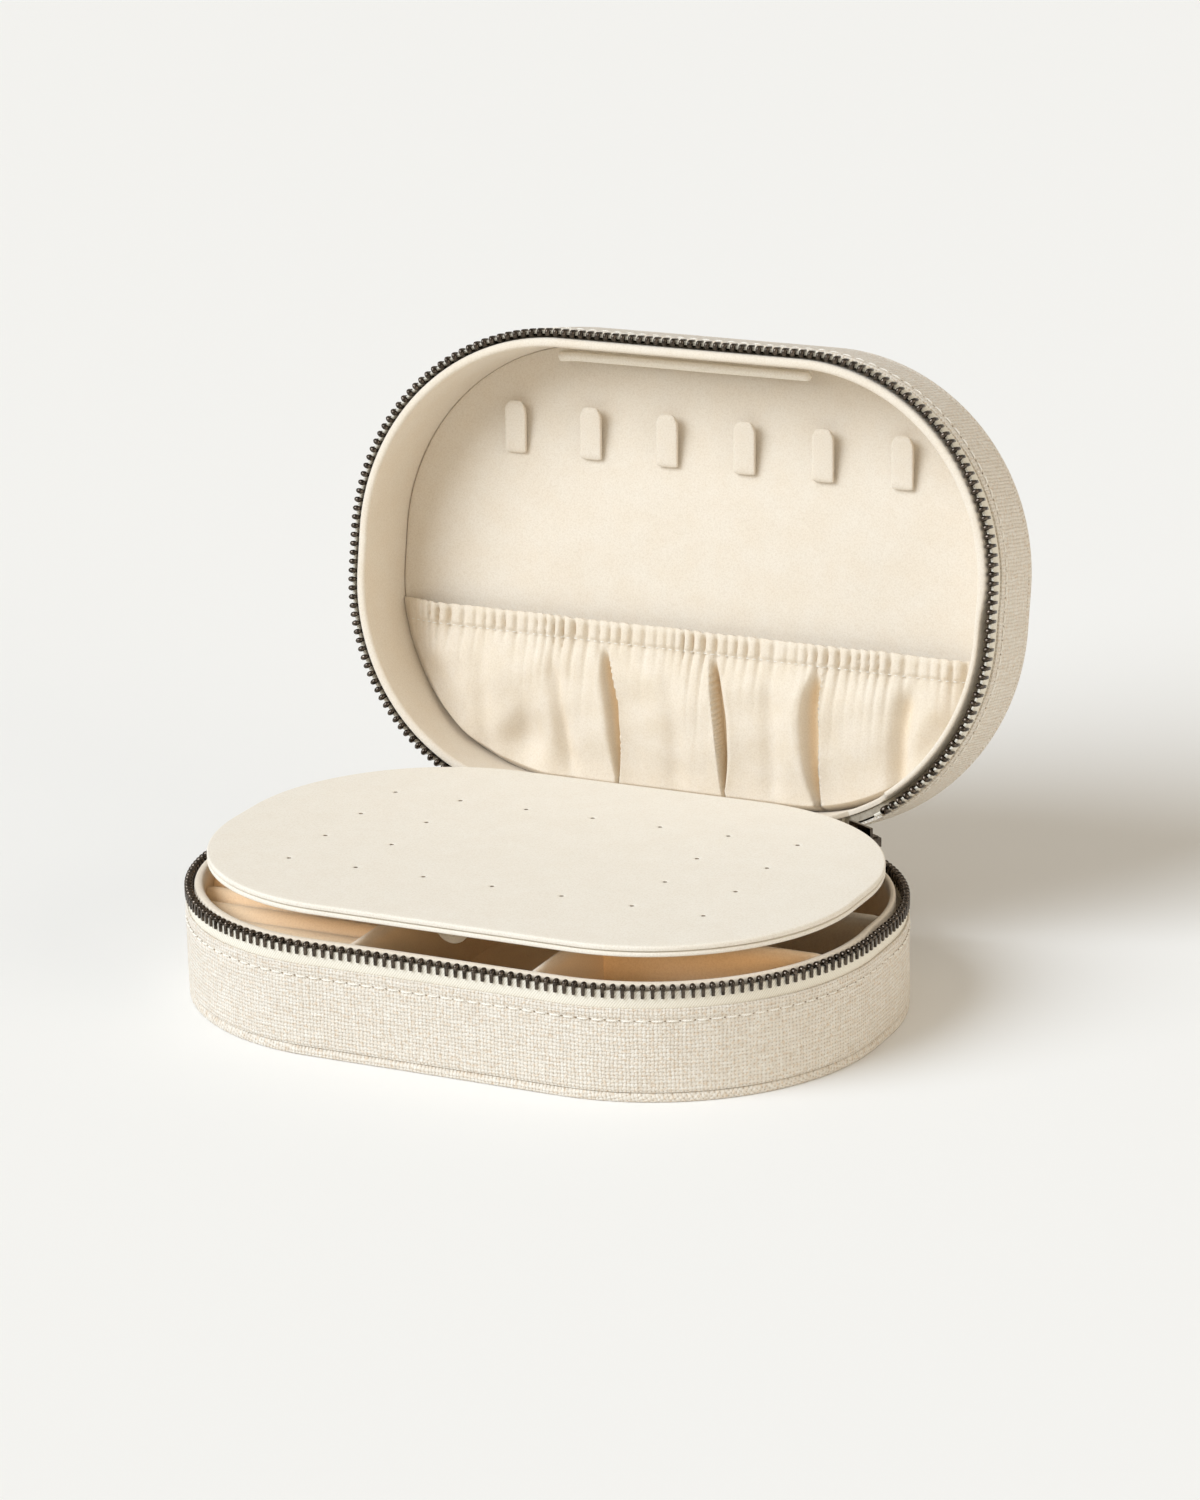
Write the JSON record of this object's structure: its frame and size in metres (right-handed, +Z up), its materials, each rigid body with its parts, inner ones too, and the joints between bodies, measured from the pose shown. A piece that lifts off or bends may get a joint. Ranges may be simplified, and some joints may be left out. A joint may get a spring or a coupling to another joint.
{
  "type": "jewelry box",
  "caption": "Zip-around travel jewelry box with a hinged padded lid, ring rolls, compartments, a lift-out earring plate, necklace hooks and a gathered pocket.",
  "frame": {"origin": "centre of the base's flat underside", "axes": "+X along the box's length to the right, -Y to the front, +Z up"},
  "size_m": [0.1944, 0.1835, 0.1587],
  "materials": {
    "linen": "coarse off-white linen weave, matte",
    "lining": "warm cream microsuede, soft and matte",
    "zip_tape": "cream twill tape",
    "zip_metal": "dark gunmetal, polished",
    "grey_board": "stiff grey board core, hidden inside the cloth"
  },
  "bodies": {
    "base": {"base_bottom_panel": "linen", "base_wall_board": "grey_board", "base_linen_band": "linen", "base_zip_tape": "zip_tape", "base_zip_teeth": "zip_metal", "base_zip_stops": "zip_metal", "base_lining_wall": "lining", "base_floor_pad": "lining", "divider_left": "lining", "divider_right": "lining", "cross_divider_front": "lining", "cross_divider_rear": "lining", "ring_roll_1": "lining", "ring_roll_2": "lining", "ring_roll_3": "lining", "ring_roll_4": "lining", "ring_roll_5": "lining", "ring_roll_6": "lining", "ring_roll_7": "lining", "ring_roll_8": "lining", "ring_roll_9": "lining", "ring_roll_10": "lining", "hinge_cloth": "linen"},
    "lid": {"lid_top_panel": "linen", "lid_wall_board": "grey_board", "lid_linen_band": "linen", "lid_zip_tape": "zip_tape", "lid_zip_teeth": "zip_metal", "lid_zip_stops": "zip_metal", "lid_lining_wall": "lining", "lid_ceiling_pad": "lining", "necklace_hook_1": "lining", "necklace_hook_2": "lining", "necklace_hook_3": "lining", "necklace_hook_4": "lining", "necklace_hook_5": "lining", "necklace_hook_6": "lining", "pocket_panel": "lining", "pocket_elastic": "lining", "lid_front_strip": "lining"},
    "earring_plate": {"earring_plate_board": "grey_board", "earring_plate_cover": "lining", "earring_plate_backing": "lining", "pull_tab": "lining"},
    "slider": {"zip_slider": "zip_metal"},
    "puller": {"zip_puller": "zip_metal"}
  },
  "joints": [
    {"name": "lid_hinge", "type": "hinge", "parent": "base", "child": "lid", "pos_m": [0, 0.06296, 0.03165], "axis": [1, 0, 0], "range_deg": [0, 101], "deforming": ["hinge_cloth"]},
    {"name": "plate_lift", "type": "slide", "parent": "base", "child": "earring_plate", "axis": [0, 0, 1], "range_m": [-0.0064, 0.008]},
    {"name": "slider_travel", "type": "hinge", "parent": "base", "child": "slider", "pos_m": [0.036, 0.0055, 0.03165], "axis": [0, 0, 1], "range_deg": [-55, 0]},
    {"name": "puller_swing", "type": "hinge", "parent": "slider", "child": "puller", "pos_m": [0.06707, 0.06214, 0.03165], "axis": [0.8767, -0.481, 0], "range_deg": [-6, 90]}
  ]
}
